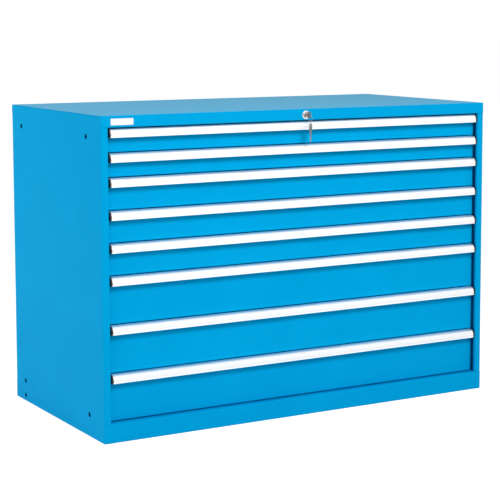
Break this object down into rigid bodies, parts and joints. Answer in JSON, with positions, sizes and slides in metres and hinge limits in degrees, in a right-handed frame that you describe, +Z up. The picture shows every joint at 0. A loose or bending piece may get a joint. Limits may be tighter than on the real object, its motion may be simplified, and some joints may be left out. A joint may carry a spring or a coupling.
{
  "type": "wide drawer cabinet",
  "caption": "Wide blue sheet-steel cabinet on a plinth, a stack of full-width drawers with bright handle strips, telescopic slides and one central lock with keys.",
  "frame": {"origin": "centre of the base on the floor, midway between the sides and between the front and back planes of the body", "axes": "+X to the right seen from the front, +Y from the front to the back, +Z up"},
  "size_m": [1.431, 0.7575, 1],
  "materials": {
    "cabinet_paint": "sky-blue fine-textured powder coat, semi-gloss",
    "tray_paint": "light grey powder coat, satin",
    "handle_aluminium": "satin anodised extrusion with a white label strip in its groove",
    "end_cap_black": "black moulded plastic",
    "slide_zinc": "bright zinc-plated steel",
    "lock_nickel": "polished nickel",
    "key_steel": "worn nickel-plated steel",
    "plate_white": "white plate, bare",
    "guide_plastic": "dark moulded plastic"
  },
  "bodies": {
    "cabinet": {"side_panel_left": "cabinet_paint", "side_panel_right": "cabinet_paint", "top_panel": "cabinet_paint", "back_panel": "cabinet_paint", "base_panel": "cabinet_paint", "base_stiffeners": "cabinet_paint", "slide_posts": "cabinet_paint", "cabinet_rails": "slide_zinc", "label_plate": "plate_white", "lock_housing": "lock_nickel", "lock_rod_bearing": "slide_zinc", "lock_bar_guides": "guide_plastic"},
    "drawer_1": {"drawer_1_tray": "tray_paint", "drawer_1_front": "cabinet_paint", "drawer_1_handle": "handle_aluminium", "drawer_1_end_caps": "end_cap_black"},
    "slides_1": {"drawer_1_slides": "slide_zinc"},
    "drawer_2": {"drawer_2_tray": "tray_paint", "drawer_2_front": "cabinet_paint", "drawer_2_handle": "handle_aluminium", "drawer_2_end_caps": "end_cap_black"},
    "slides_2": {"drawer_2_slides": "slide_zinc"},
    "drawer_3": {"drawer_3_tray": "tray_paint", "drawer_3_front": "cabinet_paint", "drawer_3_handle": "handle_aluminium", "drawer_3_end_caps": "end_cap_black"},
    "slides_3": {"drawer_3_slides": "slide_zinc"},
    "drawer_4": {"drawer_4_tray": "tray_paint", "drawer_4_front": "cabinet_paint", "drawer_4_handle": "handle_aluminium", "drawer_4_end_caps": "end_cap_black"},
    "slides_4": {"drawer_4_slides": "slide_zinc"},
    "drawer_5": {"drawer_5_tray": "tray_paint", "drawer_5_front": "cabinet_paint", "drawer_5_handle": "handle_aluminium", "drawer_5_end_caps": "end_cap_black"},
    "slides_5": {"drawer_5_slides": "slide_zinc"},
    "drawer_6": {"drawer_6_tray": "tray_paint", "drawer_6_front": "cabinet_paint", "drawer_6_handle": "handle_aluminium", "drawer_6_end_caps": "end_cap_black"},
    "slides_6": {"drawer_6_slides": "slide_zinc"},
    "drawer_7": {"drawer_7_tray": "tray_paint", "drawer_7_front": "cabinet_paint", "drawer_7_handle": "handle_aluminium", "drawer_7_end_caps": "end_cap_black"},
    "slides_7": {"drawer_7_slides": "slide_zinc"},
    "drawer_8": {"drawer_8_tray": "tray_paint", "drawer_8_front": "cabinet_paint", "drawer_8_handle": "handle_aluminium", "drawer_8_end_caps": "end_cap_black"},
    "slides_8": {"drawer_8_slides": "slide_zinc"},
    "lock_plug": {"lock_plug": "lock_nickel", "lock_rod": "slide_zinc"},
    "lock_bar": {"lock_bar": "slide_zinc"},
    "key": {"lock_key": "key_steel"},
    "key_ring": {"key_ring": "key_steel"}
  },
  "joints": [
    {"name": "drawer_1_slide", "type": "slide", "parent": "cabinet", "child": "drawer_1", "axis": [0, -1, 0], "range_m": [0, 0.62]},
    {"name": "slides_1_travel", "type": "slide", "parent": "cabinet", "child": "slides_1", "axis": [0, -1, 0], "range_m": [0, 0.31]},
    {"name": "drawer_2_slide", "type": "slide", "parent": "cabinet", "child": "drawer_2", "axis": [0, -1, 0], "range_m": [0, 0.62]},
    {"name": "slides_2_travel", "type": "slide", "parent": "cabinet", "child": "slides_2", "axis": [0, -1, 0], "range_m": [0, 0.31]},
    {"name": "drawer_3_slide", "type": "slide", "parent": "cabinet", "child": "drawer_3", "axis": [0, -1, 0], "range_m": [0, 0.62]},
    {"name": "slides_3_travel", "type": "slide", "parent": "cabinet", "child": "slides_3", "axis": [0, -1, 0], "range_m": [0, 0.31]},
    {"name": "drawer_4_slide", "type": "slide", "parent": "cabinet", "child": "drawer_4", "axis": [0, -1, 0], "range_m": [0, 0.62]},
    {"name": "slides_4_travel", "type": "slide", "parent": "cabinet", "child": "slides_4", "axis": [0, -1, 0], "range_m": [0, 0.31]},
    {"name": "drawer_5_slide", "type": "slide", "parent": "cabinet", "child": "drawer_5", "axis": [0, -1, 0], "range_m": [0, 0.62]},
    {"name": "slides_5_travel", "type": "slide", "parent": "cabinet", "child": "slides_5", "axis": [0, -1, 0], "range_m": [0, 0.31]},
    {"name": "drawer_6_slide", "type": "slide", "parent": "cabinet", "child": "drawer_6", "axis": [0, -1, 0], "range_m": [0, 0.62]},
    {"name": "slides_6_travel", "type": "slide", "parent": "cabinet", "child": "slides_6", "axis": [0, -1, 0], "range_m": [0, 0.31]},
    {"name": "drawer_7_slide", "type": "slide", "parent": "cabinet", "child": "drawer_7", "axis": [0, -1, 0], "range_m": [0, 0.62]},
    {"name": "slides_7_travel", "type": "slide", "parent": "cabinet", "child": "slides_7", "axis": [0, -1, 0], "range_m": [0, 0.31]},
    {"name": "drawer_8_slide", "type": "slide", "parent": "cabinet", "child": "drawer_8", "axis": [0, -1, 0], "range_m": [0, 0.62]},
    {"name": "slides_8_travel", "type": "slide", "parent": "cabinet", "child": "slides_8", "axis": [0, -1, 0], "range_m": [0, 0.31]},
    {"name": "lock_turn", "type": "hinge", "parent": "cabinet", "child": "lock_plug", "pos_m": [0, -0.366, 0.981], "axis": [0, 1, 0], "range_deg": [0, 90]},
    {"name": "lock_bar_lift", "type": "slide", "parent": "cabinet", "child": "lock_bar", "axis": [0, 0, 1], "range_m": [0, 0.01131]},
    {"name": "key_withdraw", "type": "slide", "parent": "lock_plug", "child": "key", "axis": [0, -1, 0], "range_m": [0, 0.031]},
    {"name": "key_ring_swing", "type": "hinge", "parent": "key", "child": "key_ring", "pos_m": [0, -0.3895, 0.981], "axis": [-1, 0, 0], "range_deg": [-10, 60]}
  ],
  "couplings": [
    {"joint": "slides_1_travel", "follows": "drawer_1_slide", "ratio": 0.5},
    {"joint": "slides_2_travel", "follows": "drawer_2_slide", "ratio": 0.5},
    {"joint": "slides_3_travel", "follows": "drawer_3_slide", "ratio": 0.5},
    {"joint": "slides_4_travel", "follows": "drawer_4_slide", "ratio": 0.5},
    {"joint": "slides_5_travel", "follows": "drawer_5_slide", "ratio": 0.5},
    {"joint": "slides_6_travel", "follows": "drawer_6_slide", "ratio": 0.5},
    {"joint": "slides_7_travel", "follows": "drawer_7_slide", "ratio": 0.5},
    {"joint": "slides_8_travel", "follows": "drawer_8_slide", "ratio": 0.5},
    {"joint": "lock_turn", "follows": "lock_bar_lift", "rad_per_m": 138.84}
  ]
}
